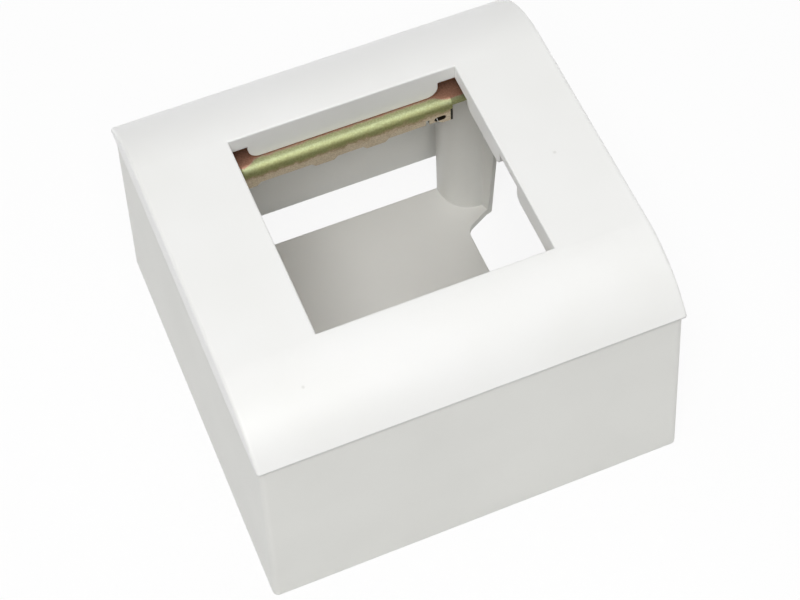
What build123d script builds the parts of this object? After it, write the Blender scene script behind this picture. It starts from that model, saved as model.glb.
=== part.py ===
from build123d import *
from math import atan, atan2, cos, degrees, hypot, radians, sin, sqrt, tan
import os

os.makedirs("parts", exist_ok=True)

# Surface mounting box for one 45 x 45 module. Millimetres, +Z up.
# The box stands on its floor, opening up. X runs along the front wall, Y runs to the back wall.
# The origin is the centre of the footprint, on the wall plane.

# Driving dimensions of the whole
cover_side = 81.0
overall_height = 52.0
cover_height = 8.0
aperture = 45.0
overhang = 0.5
wall_flare = 1.5

# Driving dimensions of the back box
box_wall = 1.6
box_edge_radius = 1.2
rim_break = 0.25
foot_relief_width = 1.1
foot_relief_height = 1.6
floor_thickness = 1.6
floor_width = 47.4
floor_depth = 63.9
column_inset_x = 11.4
column_inset_y = 9.2
column_diameter = 13.2
column_flank = 5.3
column_flank_angle = -29.0
column_drop = 0.2
web_thickness = 2.4
rib_thickness = 1.1
rib_foot_reach = 1.6
rib_head_reach = 4.6
rib_root = 2.0
rib_turn = 8.0
rib_angle = -70.0
pad_reach_x = 2.0
pad_reach_y = 4.6
pad_angle = 28.0
pad_fillet = 3.0
pilot_clearance = 0.1
pilot_spare = 5.0
core_diameter = 8.0
core_roof = 2.0
wall_slot_spacing = 36.0
wall_slot_length = 8.0
wall_slot_width = 4.5

# Driving dimensions of the support frame
sheet = 1.0
sheet_margin_x = 7.0
sheet_margin_y = 4.5
sheet_corner = 3.0
fixing_clearance = 0.6
fixing_travel = 2.4
window_edge_gap = 0.1
window_side_clearance = 1.0
bend_radius = 1.6
flange_gap = 40.0
flange_length = 42.0
flange_height = 4.4
flange_tab_drop = 0.8
flange_tab_width = 5.3
flange_tab_angle = 45.0
flange_tab_at = 5.2
flange_end_tab_inset = 0.3
flange_slot_at = 18.4
flange_slot_length = 2.4
flange_slot_width = 1.3
flange_nick_at = 15.8
flange_nick_width = 0.7
flange_nick_height = 1.2

# Driving dimensions of the cover frame
cover_plate = 2.0
cover_wall = 1.8
crown_land = 1.0
collar_wall = 1.5
collar_depth = 3.4
tongue_width = 38.0
tongue_clearance = 0.3
tongue_corner = 2.3
skirt_depth = 5.3
skirt_corner = 1.8
skirt_front = -21.0
skirt_rear = 16.5
notch_front = -6.4
notch_rear = 1.3
edge_radius = 0.6
tab_width = 8.0
tab_reach = 3.0
tab_wall = 1.2
tab_clearance = 0.2
tab_lead = 1.2
tab_at = 12.0

# Driving dimensions of a frame screw
screw_head = 5.6
screw_head_height = 1.5
screw_head_break = 0.5
screw_shank = 3.0
screw_length = 16.0
screw_point_length = 2.4
screw_point_break = 0.9
screw_recess_width = 0.7
screw_recess_span = 3.1
screw_recess_depth = 0.9

# Worked out from the driving dimensions
seam_height = overall_height - cover_height
box_rim = cover_side - 2 * overhang
box_foot = box_rim + 2 * wall_flare
column_top = seam_height - column_drop
column_radius = column_diameter / 2
screw_x = box_rim / 2 - column_inset_x
screw_y = box_rim / 2 - column_inset_y
pilot_diameter = screw_shank + 2 * pilot_clearance
pilot_depth = screw_length - sheet + pilot_spare
sheet_top = column_top + sheet
fixing_slot_width = screw_shank + 2 * fixing_clearance
fixing_slot_length = fixing_slot_width + fixing_travel
crown_depth = aperture + 2 * crown_land
collar_side = aperture + 2 * collar_wall
tongue_depth = overall_height - sheet_top - tongue_clearance
corner_signs = [(sx, sy) for sx in (-1, 1) for sy in (-1, 1)]


def tapered_block(foot, rim, height, corner):
    """A four-sided block whose walls lean from the foot size to the rim size."""
    lean = degrees(atan((foot - rim) / 2 / height))
    with BuildPart() as block:
        with BuildSketch(Plane.XY):
            Rectangle(foot, foot)
        extrude(amount=height, taper=lean)
        leaning_edges = block.edges().group_by(Axis.Z)[1]
        fillet(leaning_edges, corner)
    return block.part


def at_four_corners(piece):
    """The rear right piece and its mirror images at the other three corners."""
    copies = []
    for sx, sy in corner_signs:
        copy = piece if sx > 0 else piece.mirror(Plane.YZ)
        copies.append(copy if sy > 0 else copy.mirror(Plane.XZ))
    return copies


def floor_pad():
    """The floor's quarter pad, which reaches out under the rear right screw column."""
    edge_x = floor_width / 2
    edge_y = screw_y - column_radius - pad_reach_y
    end_x = screw_x + pad_reach_x
    end_y = edge_y + (end_x - edge_x) * tan(radians(pad_angle))
    with BuildPart() as pad:
        with BuildSketch(Plane.XY):
            with BuildLine():
                Polyline(
                    (0, 0),
                    (edge_x, 0),
                    (edge_x, edge_y),
                    (end_x, end_y),
                    (end_x, screw_y),
                    (0, screw_y),
                    close=True,
                )
            make_face()
        extrude(amount=floor_thickness)
        inner_edge = pad.edges().filter_by(Axis.Z).sort_by_distance((edge_x, edge_y, 0))[0]
        fillet(inner_edge, pad_fillet)
    return pad.part


def column_rib():
    """The upright rib in front of the rear right column; its reach grows towards the frame."""
    foot_x = screw_x + column_radius * sin(radians(rib_turn))
    foot_y = screw_y - column_radius * cos(radians(rib_turn))
    run = Vector(cos(radians(rib_angle)), sin(radians(rib_angle)), 0)
    with BuildPart() as rib:
        with BuildSketch(Plane(origin=(foot_x, foot_y, 0), x_dir=run, z_dir=run.cross(Vector(0, 0, 1)))):
            with BuildLine():
                Polyline(
                    (-rib_root, 0),
                    (rib_foot_reach, 0),
                    (rib_head_reach, column_top),
                    (-rib_root, column_top),
                    close=True,
                )
            make_face()
        extrude(amount=rib_thickness / 2, both=True)
    return rib.part


def screw_column():
    """The rear right column, flat on its flank, and the web that ties it to the box's corner."""
    turn = radians(column_flank_angle)
    cut_at = column_flank + column_radius / 2
    web_x = box_foot / 2 - screw_x
    web_y = box_foot / 2 - screw_y
    with BuildPart() as column:
        with BuildSketch(Plane.XY):
            with Locations((screw_x, screw_y)):
                Circle(column_radius)
            with Locations((screw_x + cut_at * cos(turn), screw_y + cut_at * sin(turn))):
                Rectangle(column_radius, column_diameter, rotation=column_flank_angle, mode=Mode.SUBTRACT)
            with Locations((screw_x + web_x / 2, screw_y + web_y / 2)):
                Rectangle(hypot(web_x, web_y), web_thickness, rotation=degrees(atan2(web_y, web_x)))
        extrude(amount=column_top)
    return column.part


def box_inside():
    """Floor, pads, columns with their webs, and ribs, before the walls close round them."""
    corners = [(sx * screw_x, sy * screw_y) for sx, sy in corner_signs]
    pads = at_four_corners(floor_pad())
    columns = at_four_corners(screw_column())
    ribs = at_four_corners(column_rib())
    trim = tapered_block(box_foot - box_wall, box_rim - box_wall, seam_height, box_edge_radius)
    with BuildPart() as inside:
        with BuildSketch(Plane.XY):
            Rectangle(floor_width, floor_depth)
        extrude(amount=floor_thickness)
        add(pads)
        add(columns)
        add(ribs)
        add(trim, mode=Mode.INTERSECT)
        with BuildSketch(Plane.XY.offset(column_top)):
            with Locations(*corners):
                Circle(pilot_diameter / 2)
        extrude(amount=-pilot_depth, mode=Mode.SUBTRACT)
        with BuildSketch(Plane.XY):
            with Locations(*corners):
                Circle(core_diameter / 2)
        extrude(amount=column_top - pilot_depth - core_roof, mode=Mode.SUBTRACT)
        with BuildSketch(Plane.XY):
            with Locations((-wall_slot_spacing / 2, 0), (wall_slot_spacing / 2, 0)):
                SlotOverall(wall_slot_length, wall_slot_width)
        extrude(amount=floor_thickness, mode=Mode.SUBTRACT)
    return inside.part


def make_back_box():
    """Leaning walls, relieved at their foot, slotted floor and ribbed screw columns, in one moulding."""
    inner_foot = box_foot - 2 * box_wall
    inner_rim = box_rim - 2 * box_wall
    walls = tapered_block(box_foot, box_rim, seam_height, box_edge_radius)
    hollow = tapered_block(inner_foot, inner_rim, seam_height, box_edge_radius / 2)
    relief_foot = inner_foot + 2 * foot_relief_width
    relief_top = inner_foot - 2 * foot_relief_width
    relief = tapered_block(relief_foot, relief_top, 2 * foot_relief_height, box_edge_radius / 2)
    inside = box_inside()
    with BuildPart() as box:
        add(walls)
        chamfer(box.faces().sort_by(Axis.Z)[-1].edges(), rim_break)
        add(hollow, mode=Mode.SUBTRACT)
        add(relief, mode=Mode.SUBTRACT)
        add(inside)
    box.part.label = "back_box"
    return box


def frame_flange():
    """The rear flange, bent down from the window: four tabs, and a slot and a nick at the right."""
    bend_y = flange_gap / 2 + bend_radius
    bend_z = sheet_top - bend_radius
    foot_z = sheet_top - flange_height
    face = Plane.XZ.offset(-flange_gap / 2)
    end_tab_at = flange_length / 2 - flange_end_tab_inset
    tabs = [(side * spot, foot_z) for spot in (flange_tab_at, end_tab_at) for side in (-1, 1)]
    tab_root_width = flange_tab_width + 2 * flange_tab_drop / tan(radians(flange_tab_angle))
    with BuildPart() as flange:
        with BuildSketch(Plane.YZ):
            with BuildLine():
                outer = CenterArc((bend_y, bend_z), bend_radius, 90, 90)
                inner = CenterArc((bend_y, bend_z), bend_radius - sheet, 180, -90)
                Polyline(outer @ 1, (flange_gap / 2, foot_z), (flange_gap / 2 + sheet, foot_z), inner @ 0)
                Line(inner @ 1, outer @ 0)
            make_face()
        extrude(amount=flange_length / 2, both=True)
        with BuildSketch(face):
            with Locations(*tabs):
                Trapezoid(tab_root_width, 2 * flange_tab_drop, flange_tab_angle, rotation=180)
            with Locations((0, foot_z)):
                Rectangle(flange_length, 4 * flange_tab_drop, mode=Mode.INTERSECT)
        extrude(amount=-sheet)
        with BuildSketch(face):
            with Locations((flange_slot_at, foot_z + flange_slot_width / 2)):
                SlotOverall(flange_slot_length, flange_slot_width)
            with Locations((flange_nick_at, foot_z + flange_nick_height / 2)):
                Rectangle(flange_nick_width, flange_nick_height)
        extrude(amount=-sheet, mode=Mode.SUBTRACT)
    return flange.part


def make_support_frame():
    """The pressed steel sheet: a window with a bent, notched flange along its front and back."""
    rear_flange = frame_flange()
    front_flange = rear_flange.rotate(Axis.Z, 180)
    window_x = collar_side + 2 * window_side_clearance
    bend_y = flange_gap / 2 + bend_radius
    sheet_x = 2 * (screw_x + sheet_margin_x)
    sheet_y = 2 * (screw_y + sheet_margin_y)
    with BuildPart() as frame:
        with BuildSketch(Plane.XY.offset(column_top)):
            RectangleRounded(sheet_x, sheet_y, sheet_corner)
            Rectangle(window_x, flange_gap + 2 * window_edge_gap, mode=Mode.SUBTRACT)
            Rectangle(flange_length, 2 * bend_y, mode=Mode.SUBTRACT)
            with Locations(*[(sx * screw_x, sy * screw_y) for sx, sy in corner_signs]):
                SlotOverall(fixing_slot_length, fixing_slot_width, mode=Mode.SUBTRACT)
        extrude(amount=sheet)
        add(rear_flange)
        add(front_flange)
    frame.part.label = "support_frame"
    return frame


def crown_profile(drop):
    """The flat crown and its two end arcs on the YZ plane, moved in by drop from the outer face."""
    reach = cover_side / 2 - crown_depth / 2
    fall = overall_height - seam_height
    radius = (reach**2 + fall**2) / (2 * fall)
    arc_end = crown_depth / 2 + sqrt((radius - drop)**2 - (radius - fall)**2)
    crown = overall_height - drop
    with BuildSketch(Plane.YZ) as profile:
        with BuildLine():
            right = TangentArc((crown_depth / 2, crown), (arc_end, seam_height), tangent=(1, 0))
            left = TangentArc((-crown_depth / 2, crown), (-arc_end, seam_height), tangent=(-1, 0))
            Line(right @ 0, left @ 0)
            Line(left @ 1, right @ 1)
        make_face()
    return profile.sketch


def cover_space():
    """The room under the cover's plate, end arcs and side walls."""
    with BuildPart() as space:
        extrude(crown_profile(cover_plate), amount=cover_side / 2 - cover_wall, dir=(1, 0, 0), both=True)
    return space.part


def collar_ring():
    """The wall round the aperture: shallow at its corners, tongues front and back, skirts at the sides."""
    root_z = overall_height - cover_plate / 2
    skirt_foot = overall_height - skirt_depth
    skirts = [(skirt_front, notch_front), (notch_rear, skirt_rear)]
    with BuildPart() as ring:
        with BuildSketch(Plane.XZ.offset(-collar_side / 2)):
            with Locations((0, root_z)):
                Rectangle(tongue_width, 2 * (root_z - overall_height + tongue_depth))
        extrude(amount=collar_side)
        fillet(ring.edges().filter_by(Axis.Y).group_by(Axis.Z)[0], tongue_corner)
        with BuildSketch(Plane.XY.offset(root_z)):
            Rectangle(collar_side, collar_side)
        extrude(amount=overall_height - collar_depth - root_z)
        with BuildSketch(Plane.YZ) as skirt_faces:
            for start, end in skirts:
                with Locations(((start + end) / 2, (skirt_foot + root_z) / 2)):
                    Rectangle(end - start, root_z - skirt_foot)
            fillet(skirt_faces.vertices().group_by(Axis.Y)[0], skirt_corner)
        extrude(amount=collar_side / 2, both=True)
        with BuildSketch(Plane.XY.offset(overall_height - cover_plate)):
            with Locations((0, (notch_front + notch_rear) / 2)):
                Rectangle(collar_side, notch_rear - notch_front)
        extrude(amount=-tongue_depth, mode=Mode.SUBTRACT)
        with BuildSketch(Plane.XY.offset(overall_height)):
            Rectangle(aperture, aperture)
        extrude(amount=-2 * tongue_depth, mode=Mode.SUBTRACT)
        split(bisect_by=Plane.XY.offset(root_z), keep=Keep.BOTTOM)
    return ring.part


def locating_tab(side, place):
    """A tab inside a side wall that drops into the box and centres the cover on it."""
    outer = box_rim / 2 - box_wall - tab_clearance
    inner = outer - tab_wall
    root = cover_side / 2 - cover_wall / 2
    foot_z = seam_height - tab_reach
    head_z = overall_height - cover_plate / 2
    with BuildPart() as tab:
        with BuildSketch(Plane.XZ.offset(-place)):
            with BuildLine():
                Polyline(
                    (side * inner, foot_z),
                    (side * (outer - tab_wall / 2), foot_z),
                    (side * outer, foot_z + tab_lead),
                    (side * outer, seam_height + tab_clearance),
                    (side * root, seam_height + tab_clearance),
                    (side * root, head_z),
                    (side * inner, head_z),
                    close=True,
                )
            make_face()
        extrude(amount=tab_width / 2, both=True)
    return tab.part


def make_cover_frame():
    """The arched cover: a plate with end arcs, flat side walls, its collar and its locating tabs."""
    space = cover_space()
    ring = collar_ring()
    tabs = [locating_tab(sx, sy * tab_at) for sx, sy in corner_signs]
    with BuildPart() as cover:
        extrude(crown_profile(0), amount=cover_side / 2, dir=(1, 0, 0), both=True)
        for end_face in (cover.faces().sort_by(Axis.X)[0], cover.faces().sort_by(Axis.X)[-1]):
            fillet(end_face.edges().sort_by(Axis.Z)[1:], edge_radius)
        add(space, mode=Mode.SUBTRACT)
        add(tabs)
        add(ring)
        with BuildSketch(Plane.XY.offset(overall_height)):
            Rectangle(aperture, aperture)
        extrude(amount=-2 * tongue_depth, mode=Mode.SUBTRACT)
        reach = aperture / 2 + edge_radius / 2
        mouth = cover.edges().filter_by_position(Axis.Z, overall_height - edge_radius, overall_height)
        mouth = mouth.filter_by_position(Axis.X, -reach, reach).filter_by_position(Axis.Y, -reach, reach)
        fillet(mouth, edge_radius / 2)
    cover.part.label = "cover_frame"
    return cover


def make_frame_screw(name, x, y):
    """A pan head screw with a cross recess, seated on the support frame over its column."""
    with BuildPart() as screw:
        with Locations((0, 0, sheet_top)):
            Cylinder(screw_head / 2, screw_head_height, align=(Align.CENTER, Align.CENTER, Align.MIN))
        chamfer(screw.edges().group_by(Axis.Z)[-1], screw_head_break)
        with Locations((0, 0, sheet_top)):
            Cylinder(screw_shank / 2, screw_length, align=(Align.CENTER, Align.CENTER, Align.MAX))
        chamfer(screw.edges().group_by(Axis.Z)[0], screw_point_length, screw_point_break)
        with BuildSketch(Plane.XY.offset(sheet_top + screw_head_height)):
            Rectangle(screw_recess_span, screw_recess_width)
            Rectangle(screw_recess_width, screw_recess_span)
        extrude(amount=-screw_recess_depth, mode=Mode.SUBTRACT)
    screw.part = screw.part.moved(Location((x, y, 0)))
    screw.part.label = name
    return screw


back_box = make_back_box()
export_step(back_box.part, "parts/back_box.step")

support_frame = make_support_frame()
export_step(support_frame.part, "parts/support_frame.step")

cover_frame = make_cover_frame()
export_step(cover_frame.part, "parts/cover_frame.step")

for number, (sx, sy) in enumerate(corner_signs, start=1):
    frame_screw = make_frame_screw(f"frame_screw_{number}", sx * screw_x, sy * screw_y)
    export_step(frame_screw.part, f"parts/frame_screw_{number}.step")
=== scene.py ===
from math import radians

import bmesh
import bpy
from mathutils import Euler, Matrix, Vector


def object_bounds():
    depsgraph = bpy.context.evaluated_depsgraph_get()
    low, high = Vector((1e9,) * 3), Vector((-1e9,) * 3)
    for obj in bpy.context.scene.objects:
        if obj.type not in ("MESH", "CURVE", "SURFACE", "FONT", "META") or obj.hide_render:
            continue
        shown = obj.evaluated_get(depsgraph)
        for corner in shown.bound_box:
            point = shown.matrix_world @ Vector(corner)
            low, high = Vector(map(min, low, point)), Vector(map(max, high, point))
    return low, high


# A white surface mounting box with a steel support frame, standing on a pale floor.
# Metres, +Z up, the front wall faces -Y.

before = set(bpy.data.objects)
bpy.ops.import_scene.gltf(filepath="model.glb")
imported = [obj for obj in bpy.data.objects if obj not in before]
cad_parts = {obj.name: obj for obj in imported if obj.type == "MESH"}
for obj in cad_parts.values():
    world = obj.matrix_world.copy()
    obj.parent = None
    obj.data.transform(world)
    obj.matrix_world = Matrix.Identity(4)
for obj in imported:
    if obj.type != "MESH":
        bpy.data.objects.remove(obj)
cad_low, cad_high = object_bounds()
mm = 0.001

# The camera, fitted to the corners of the box
picture_width = 800
picture_height = 600
lens_axis_column = 450
lens_axis_row = 260
camera_place = Vector((-0.07293, -0.21003, 0.35777))
camera_tilt = 34.147
camera_roll = 0.689
camera_heading = -22.965
focal_length = 94.67
sensor_width = 36.0

# How far the moulded edges are rounded off, and how finely that is worked out
cover_edge = 0.35 * mm
box_edge = 0.30 * mm
edge_samples = 8

# Pattern sizes in mm; the grain, specks and rolling lines are coarser than the real ones, so that they show
cover_flow = 26
cover_ripple = 1.6
box_flow = 30
box_grain = 0.35
film_cloud = 1.6
film_speck = 0.35
rolling_line = 0.4
zinc_spot = 0.9

# The rolling lines run along X, five times as long as they are wide
rolling_stretch = (0.2, 1.0, 1.0)

# Where a pattern's first tone ends and its second one begins
first_tone = 0.35
second_tone = 0.65

# The colours of the steel sheet's film run up the flange's face and over its bend to the flat; the hues are
# the film's own, but their layout is painted light: a painted highlight on the bend and painted shade on
# the flat, reaching nearer past the flange's ends
flange_face = 20.0 * mm
film_foot = 41.3 * mm
bend_start = 43.2 * mm
film_on_face = 0.20
film_width = 2.9 * mm
film_end_from = 18.2 * mm
film_end_to = 20.5 * mm
film_end_climb = 2.3
film_drift = 0.05

# Painted shade on the steel flange's cuts: the walls of its slot and nick, and a rim at its sheared end,
# painted dark where shade falls in the slot and in the gap behind the flange's end
cut_wall_from = 20.1 * mm
cut_wall_to = 20.9 * mm
cuts_below = 42.9 * mm
sheared_rim_from = 20.55 * mm
cut_shade_colour = "#2E2A20"

# Two faint grey dots on the cover's skin, one at the right of the aperture and one at its front left
right_grey_dot = Vector((31.3, -3.4, 52.0)) * mm
right_grey_dot_radius = 0.45 * mm
front_grey_dot = Vector((-28.1, -30.9, 50.7)) * mm
front_grey_dot_radius = 0.40 * mm
grey_dot_core = 0.3
grey_dot_colour = "#E2E2DE"

# The studio
floor_side = 3.0
floor_seen_colour = "#FAFAFA"
floor_lit_colour = "#E0E0DE"
floor_glow = 0.9
world_strength = 0.20

# The colour sockets of a Mix node by number, since they share their names with other sockets
colour_a = 6
colour_b = 7
mixed_colour = 2


def linear(hex_colour):
    """An sRGB hex colour as linear red, green, blue and alpha."""
    channels = [int(hex_colour[start:start + 2], 16) / 255 for start in (1, 3, 5)]
    return [c / 12.92 if c <= 0.04045 else ((c + 0.055) / 1.055) ** 2.4 for c in channels] + [1.0]


def add_node(tree, kind, settings=None, inputs=None, stops=()):
    """Adds a node with its settings. Each input is a plain value or the socket that feeds it, and each
    stop of a colour ramp is its place and a hex colour."""
    made = tree.nodes.new(kind)
    for name, value in (settings or {}).items():
        setattr(made, name, value)
    for name, value in (inputs or {}).items():
        if isinstance(value, bpy.types.NodeSocket):
            tree.links.new(value, made.inputs[name])
        else:
            made.inputs[name].default_value = value
    if stops:
        marks = made.color_ramp.elements
        while len(marks) < len(stops):
            marks.new(0.5)
        for mark, (position, hex_colour) in zip(marks, stops):
            mark.position = position
            mark.color = linear(hex_colour)
    return made


def new_material(name):
    """An empty node material and its tree."""
    material = bpy.data.materials.new(name)
    material.use_nodes = True
    material.node_tree.nodes.clear()
    return material, material.node_tree


def scale_for(size_mm):
    """The texture scale at which a pattern repeats about every size_mm."""
    return 1000.0 / size_mm


def grey_dotted(tree, place, colour, centre, radius):
    """The colour with a small grey dot at the centre, soft at its rim."""
    apart = add_node(tree, "ShaderNodeVectorMath", {"operation": "DISTANCE"}, {0: place, 1: centre})
    inside = add_node(tree, "ShaderNodeMapRange", inputs={
        "Value": apart.outputs["Value"], "From Min": grey_dot_core * radius, "From Max": radius,
        "To Min": 1.0, "To Max": 0.0})
    dotted = add_node(tree, "ShaderNodeMix", {"data_type": "RGBA"}, {
        "Factor": inside.outputs["Result"], colour_a: colour, colour_b: linear(grey_dot_colour)})
    return dotted.outputs[mixed_colour]


def polished_abs():
    """ABS from a polished mould: near white and smooth, with a soft gloss, the faint ripple of moulded skin
    and two small grey dots. Its fine skin glows a little where the eye grazes it, as the sheen gives."""
    material, tree = new_material("polished_moulded_abs")
    place = add_node(tree, "ShaderNodeTexCoord").outputs["Object"]
    flow = add_node(tree, "ShaderNodeTexNoise", inputs={
        "Vector": place, "Scale": scale_for(cover_flow), "Detail": 2.0})
    tones = add_node(tree, "ShaderNodeValToRGB", inputs={"Fac": flow.outputs["Fac"]}, stops=(
        (first_tone, "#F3F3F0"), (second_tone, "#F7F7F5")))
    colour = grey_dotted(tree, place, tones.outputs["Color"], right_grey_dot, right_grey_dot_radius)
    colour = grey_dotted(tree, place, colour, front_grey_dot, front_grey_dot_radius)
    gloss = add_node(tree, "ShaderNodeMapRange", inputs={
        "Value": flow.outputs["Fac"], "To Min": 0.30, "To Max": 0.36})
    ripple = add_node(tree, "ShaderNodeTexNoise", inputs={
        "Vector": place, "Scale": scale_for(cover_ripple), "Detail": 3.0})
    soft_edges = add_node(tree, "ShaderNodeBevel", {"samples": edge_samples}, {"Radius": cover_edge})
    bump = add_node(tree, "ShaderNodeBump", inputs={
        "Height": ripple.outputs["Fac"], "Strength": 0.15, "Distance": 0.02 * mm,
        "Normal": soft_edges.outputs["Normal"]})
    shader = add_node(tree, "ShaderNodeBsdfPrincipled", inputs={
        "Base Color": colour, "Roughness": gloss.outputs["Result"], "IOR": 1.53,
        "Sheen Weight": 1.0, "Sheen Roughness": 0.7, "Normal": bump.outputs["Normal"]})
    add_node(tree, "ShaderNodeOutputMaterial", inputs={"Surface": shader.outputs["BSDF"]})
    return material


def satin_abs():
    """ABS from a finely eroded mould: nearly the cover's white, with a soft satin grain."""
    material, tree = new_material("satin_moulded_abs")
    place = add_node(tree, "ShaderNodeTexCoord").outputs["Object"]
    flow = add_node(tree, "ShaderNodeTexNoise", inputs={
        "Vector": place, "Scale": scale_for(box_flow), "Detail": 2.0})
    tones = add_node(tree, "ShaderNodeValToRGB", inputs={"Fac": flow.outputs["Fac"]}, stops=(
        (first_tone, "#F2F2EE"), (second_tone, "#F6F6F2")))
    grain = add_node(tree, "ShaderNodeTexNoise", inputs={
        "Vector": place, "Scale": scale_for(box_grain), "Detail": 2.0})
    soft_edges = add_node(tree, "ShaderNodeBevel", {"samples": edge_samples}, {"Radius": box_edge})
    bump = add_node(tree, "ShaderNodeBump", inputs={
        "Height": grain.outputs["Fac"], "Strength": 0.2, "Distance": 0.02 * mm,
        "Normal": soft_edges.outputs["Normal"]})
    shader = add_node(tree, "ShaderNodeBsdfPrincipled", inputs={
        "Base Color": tones.outputs["Color"], "Roughness": 0.42, "IOR": 1.53,
        "Normal": bump.outputs["Normal"]})
    add_node(tree, "ShaderNodeOutputMaterial", inputs={"Surface": shader.outputs["BSDF"]})
    return material


def film_place(tree, place):
    """0 at the flange's foot, then up its face and over its bend to 1 on the flat. Past the flange's end
    it climbs faster."""
    spot = add_node(tree, "ShaderNodeSeparateXYZ", inputs={"Vector": place})
    along = add_node(tree, "ShaderNodeMath", {"operation": "ABSOLUTE"}, {0: spot.outputs["X"]})
    across = add_node(tree, "ShaderNodeMath", {"operation": "ABSOLUTE"}, {0: spot.outputs["Y"]})
    past_end = add_node(tree, "ShaderNodeMapRange", inputs={
        "Value": along.outputs["Value"], "From Min": film_end_from, "From Max": film_end_to,
        "To Min": 1.0, "To Max": film_end_climb})
    from_face = add_node(tree, "ShaderNodeMapRange", {"clamp": False}, {
        "Value": across.outputs["Value"], "From Min": flange_face, "From Max": flange_face + film_width,
        "To Max": 1.0 - film_on_face})
    climb = add_node(tree, "ShaderNodeMath", {"operation": "MULTIPLY"}, {
        0: from_face.outputs["Result"], 1: past_end.outputs["Result"]})
    up_face = add_node(tree, "ShaderNodeMapRange", inputs={
        "Value": spot.outputs["Z"], "From Min": film_foot, "From Max": bend_start, "To Max": film_on_face})
    whole = add_node(tree, "ShaderNodeMath", {"operation": "ADD"}, {
        0: up_face.outputs["Result"], 1: climb.outputs["Value"]})
    return whole.outputs["Value"]


def painted_shade_on_cuts(tree, place):
    """Where the painted shade goes: 1 on the walls of the flange's cuts and on the rim at its sheared end,
    0 elsewhere. The rear flange's sheared end is at +X and the front one's at -X."""
    spot = add_node(tree, "ShaderNodeSeparateXYZ", inputs={"Vector": place})
    across = add_node(tree, "ShaderNodeMath", {"operation": "ABSOLUTE"}, {0: spot.outputs["Y"]})
    behind_face = add_node(tree, "ShaderNodeMath", {"operation": "GREATER_THAN"}, {
        0: across.outputs["Value"], 1: cut_wall_from})
    before_back = add_node(tree, "ShaderNodeMath", {"operation": "LESS_THAN"}, {
        0: across.outputs["Value"], 1: cut_wall_to})
    wall = add_node(tree, "ShaderNodeMath", {"operation": "MULTIPLY"}, {
        0: behind_face.outputs["Value"], 1: before_back.outputs["Value"]})
    flange_side = add_node(tree, "ShaderNodeMath", {"operation": "SIGN"}, {0: spot.outputs["Y"]})
    towards_end = add_node(tree, "ShaderNodeMath", {"operation": "MULTIPLY"}, {
        0: spot.outputs["X"], 1: flange_side.outputs["Value"]})
    rim = add_node(tree, "ShaderNodeMath", {"operation": "GREATER_THAN"}, {
        0: towards_end.outputs["Value"], 1: sheared_rim_from})
    either = add_node(tree, "ShaderNodeMath", {"operation": "MAXIMUM"}, {
        0: wall.outputs["Value"], 1: rim.outputs["Value"]})
    below_bend = add_node(tree, "ShaderNodeMath", {"operation": "LESS_THAN"}, {
        0: spot.outputs["Z"], 1: cuts_below})
    cuts = add_node(tree, "ShaderNodeMath", {"operation": "MULTIPLY"}, {
        0: either.outputs["Value"], 1: below_bend.outputs["Value"]})
    return cuts.outputs["Value"]


def film_colour_and_painted_light(tree, place, drift):
    """The film's colour, its own hues laid out as painted light: fawn, a brown shade, olive, two greens,
    rose brown and red brown, from the flange's foot to the flat, with the drift added so that their borders
    wander. The brown shade near the top of the flange's face and the red browns on the flat are painted
    shade, the greens on the bend a painted highlight."""
    film = add_node(tree, "ShaderNodeMath", {"operation": "ADD"}, {0: film_place(tree, place), 1: drift})
    tones = add_node(tree, "ShaderNodeValToRGB", inputs={"Fac": film.outputs["Value"]}, stops=(
        (0.0, "#E8DAC2"),
        (0.08, "#E2D2B6"),
        (0.12, "#C3AF8D"),
        (0.20, "#A6A872"),
        (0.49, "#ADB58C"),
        (0.76, "#B8BC90"),
        (0.84, "#C2AA96"),
        (0.92, "#C4957E")))
    return tones.outputs["Color"]


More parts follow.
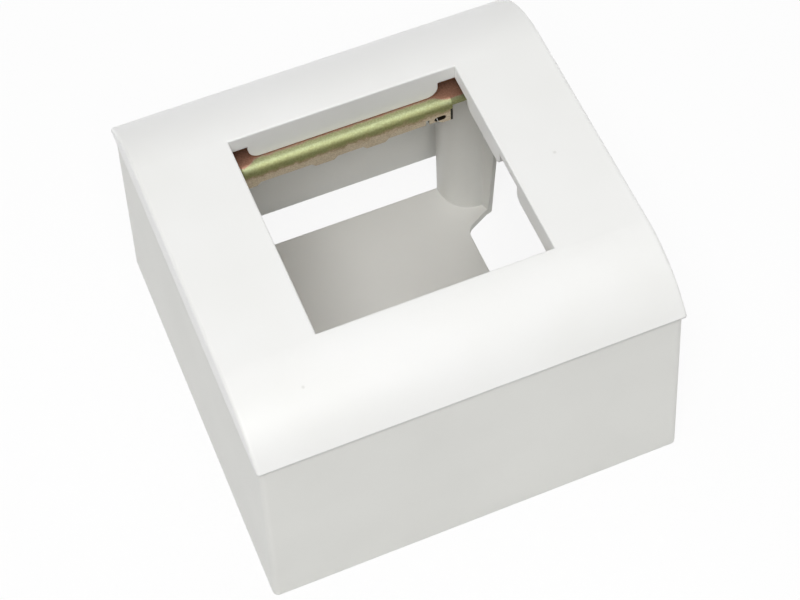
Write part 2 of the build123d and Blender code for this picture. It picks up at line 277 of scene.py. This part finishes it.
def passivated_sheet():
    """Rolled sheet, zinc plated and yellow passivated: the film is fawn on the flange, green on the bend as
    a painted highlight and red brown on the flat as painted shade, cloudy all over, and it scatters a
    little light on top of the metal's shine.
    Painted shade darkens the walls of its cuts and a rim at its sheared end."""
    material, tree = new_material("yellow_passivated_zinc_sheet")
    place = add_node(tree, "ShaderNodeTexCoord").outputs["Object"]
    clouds = add_node(tree, "ShaderNodeTexNoise", inputs={
        "Vector": place, "Scale": scale_for(film_cloud), "Detail": 4.0})
    drift = add_node(tree, "ShaderNodeMapRange", inputs={
        "Value": clouds.outputs["Fac"], "From Min": 0.3, "From Max": 0.7,
        "To Min": -film_drift, "To Max": film_drift})
    specks = add_node(tree, "ShaderNodeTexNoise", inputs={
        "Vector": place, "Scale": scale_for(film_speck), "Detail": 3.0})
    speck_tones = add_node(tree, "ShaderNodeValToRGB", inputs={"Fac": specks.outputs["Fac"]}, stops=(
        (first_tone, "#E4E0DA"), (second_tone, "#FFFFFF")))
    # The film's hues with their painted highlight and painted shade, mottled by the specks
    speckled = add_node(tree, "ShaderNodeMix", {"data_type": "RGBA", "blend_type": "MULTIPLY"}, {
        "Factor": 1.0, colour_a: film_colour_and_painted_light(tree, place, drift.outputs["Result"]),
        colour_b: speck_tones.outputs["Color"]})
    # Painted shade on the walls of the flange's cuts and on the rim at its sheared end
    with_painted_cut_shade = add_node(tree, "ShaderNodeMix", {"data_type": "RGBA"}, {
        "Factor": painted_shade_on_cuts(tree, place), colour_a: speckled.outputs[mixed_colour],
        colour_b: linear(cut_shade_colour)})
    rolled = add_node(tree, "ShaderNodeMapping", inputs={"Vector": place, "Scale": rolling_stretch})
    lines = add_node(tree, "ShaderNodeTexNoise", inputs={
        "Vector": rolled.outputs["Vector"], "Scale": scale_for(rolling_line), "Detail": 3.0})
    bump = add_node(tree, "ShaderNodeBump", inputs={
        "Height": lines.outputs["Fac"], "Strength": 0.4, "Distance": 0.05 * mm})
    dullness = add_node(tree, "ShaderNodeMapRange", inputs={
        "Value": clouds.outputs["Fac"], "To Min": 0.42, "To Max": 0.60})
    shader = add_node(tree, "ShaderNodeBsdfPrincipled", inputs={
        "Base Color": with_painted_cut_shade.outputs[mixed_colour], "Metallic": 0.7,
        "Roughness": dullness.outputs["Result"], "Normal": bump.outputs["Normal"]})
    add_node(tree, "ShaderNodeOutputMaterial", inputs={"Surface": shader.outputs["BSDF"]})
    return material


def bright_zinc():
    """Zinc plating on the screws: pale steel with a soft shine and faint spots."""
    material, tree = new_material("bright_zinc_plated_steel")
    place = add_node(tree, "ShaderNodeTexCoord").outputs["Object"]
    spots = add_node(tree, "ShaderNodeTexNoise", inputs={
        "Vector": place, "Scale": scale_for(zinc_spot), "Detail": 3.0})
    tones = add_node(tree, "ShaderNodeValToRGB", inputs={"Fac": spots.outputs["Fac"]}, stops=(
        (first_tone, "#A9A8A0"), (second_tone, "#C6C5BD")))
    shader = add_node(tree, "ShaderNodeBsdfPrincipled", inputs={
        "Base Color": tones.outputs["Color"], "Metallic": 1.0, "Roughness": 0.32})
    add_node(tree, "ShaderNodeOutputMaterial", inputs={"Surface": shader.outputs["BSDF"]})
    return material


def dress(node_name, material):
    """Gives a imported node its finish."""
    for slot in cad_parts[node_name].material_slots:
        slot.material = material


def seen_rays(tree):
    """1 for rays that show the background: straight to the camera, or mirrored or refracted on the way."""
    rays = add_node(tree, "ShaderNodeLightPath")
    mirrored = add_node(tree, "ShaderNodeMath", {"operation": "MAXIMUM"}, {
        0: rays.outputs["Is Glossy Ray"], 1: rays.outputs["Is Transmission Ray"]})
    seen = add_node(tree, "ShaderNodeMath", {"operation": "MAXIMUM"}, {
        0: rays.outputs["Is Camera Ray"], 1: mirrored.outputs["Value"]})
    return seen.outputs["Value"]


def floor_material():
    """Matt white paper: it is seen lighter than it is lit, and the shadow stays."""
    material, tree = new_material("matt_white_paper")
    seen = seen_rays(tree)
    tone = add_node(tree, "ShaderNodeMix", {"data_type": "RGBA"}, {
        "Factor": seen, colour_a: linear(floor_lit_colour), colour_b: linear(floor_seen_colour)})
    paper = add_node(tree, "ShaderNodeBsdfDiffuse", inputs={"Color": tone.outputs[mixed_colour]})
    glow = add_node(tree, "ShaderNodeEmission", inputs={"Color": linear("#FFFFFF"), "Strength": 1.0})
    share = add_node(tree, "ShaderNodeMath", {"operation": "MULTIPLY"}, {0: seen, 1: floor_glow})
    mix = add_node(tree, "ShaderNodeMixShader", inputs={
        0: share.outputs["Value"], 1: paper.outputs["BSDF"], 2: glow.outputs["Emission"]})
    add_node(tree, "ShaderNodeOutputMaterial", inputs={"Surface": mix.outputs["Shader"]})
    return material


def lay_floor():
    """The plain pale floor under the box."""
    sheet = bmesh.new()
    bmesh.ops.create_grid(sheet, x_segments=1, y_segments=1, size=floor_side / 2)
    mesh = bpy.data.meshes.new("studio_floor")
    sheet.to_mesh(mesh)
    sheet.free()
    floor = bpy.data.objects.new("studio_floor", mesh)
    mesh.materials.append(floor_material())
    bpy.context.scene.collection.objects.link(floor)


def light_world():
    """Even white light from all round."""
    world = bpy.data.worlds.new("studio")
    world.use_nodes = True
    sky = world.node_tree.nodes["Background"]
    sky.inputs["Color"].default_value = linear("#FFFFFF")
    seen = add_node(world.node_tree, "ShaderNodeMath", {"operation": "MAXIMUM"}, {
        0: seen_rays(world.node_tree), 1: world_strength})
    world.node_tree.links.new(seen.outputs["Value"], sky.inputs["Strength"])
    bpy.context.scene.world = world


def soft_box(name, place, side, power):
    """A square area lamp that faces the middle of the box."""
    lamp = bpy.data.lights.new(name, "AREA")
    lamp.size = side
    lamp.energy = power
    lamp_object = bpy.data.objects.new(name, lamp)
    lamp_object.location = place
    aim = Vector((0, 0, cad_high.z / 2)) - Vector(place)
    lamp_object.rotation_euler = aim.to_track_quat("-Z", "Y").to_euler()
    bpy.context.scene.collection.objects.link(lamp_object)


def place_camera():
    """The photo's angle and lens; the shift puts the lens axis where the fit found it."""
    lens = bpy.data.cameras.new("camera")
    lens.sensor_width = sensor_width
    lens.lens = focal_length
    lens.shift_x = (picture_width / 2 - lens_axis_column) / picture_width
    lens.shift_y = (lens_axis_row - picture_height / 2) / picture_width
    lens.clip_start = 0.01
    lens.clip_end = 10.0
    camera = bpy.data.objects.new("camera", lens)
    camera.location = camera_place
    camera.rotation_euler = Euler((radians(camera_tilt), radians(camera_roll), radians(camera_heading)))
    bpy.context.scene.collection.objects.link(camera)
    bpy.context.scene.camera = camera


dress("cover_frame", polished_abs())
dress("back_box", satin_abs())
dress("support_frame", passivated_sheet())
zinc = bright_zinc()
for number in (1, 2, 3, 4):
    dress(f"frame_screw_{number}", zinc)

lay_floor()
light_world()
soft_box("soft_box_over_the_box", place=(0.0, 0.08, 0.85), side=0.8, power=3.0)
soft_box("soft_box_by_the_camera", place=(-0.17, -0.42, 0.75), side=0.4, power=3.4)
soft_box("soft_box_at_the_left", place=(-0.90, -0.10, 0.45), side=0.6, power=0.4)
place_camera()
bpy.context.scene.view_settings.view_transform = "Standard"
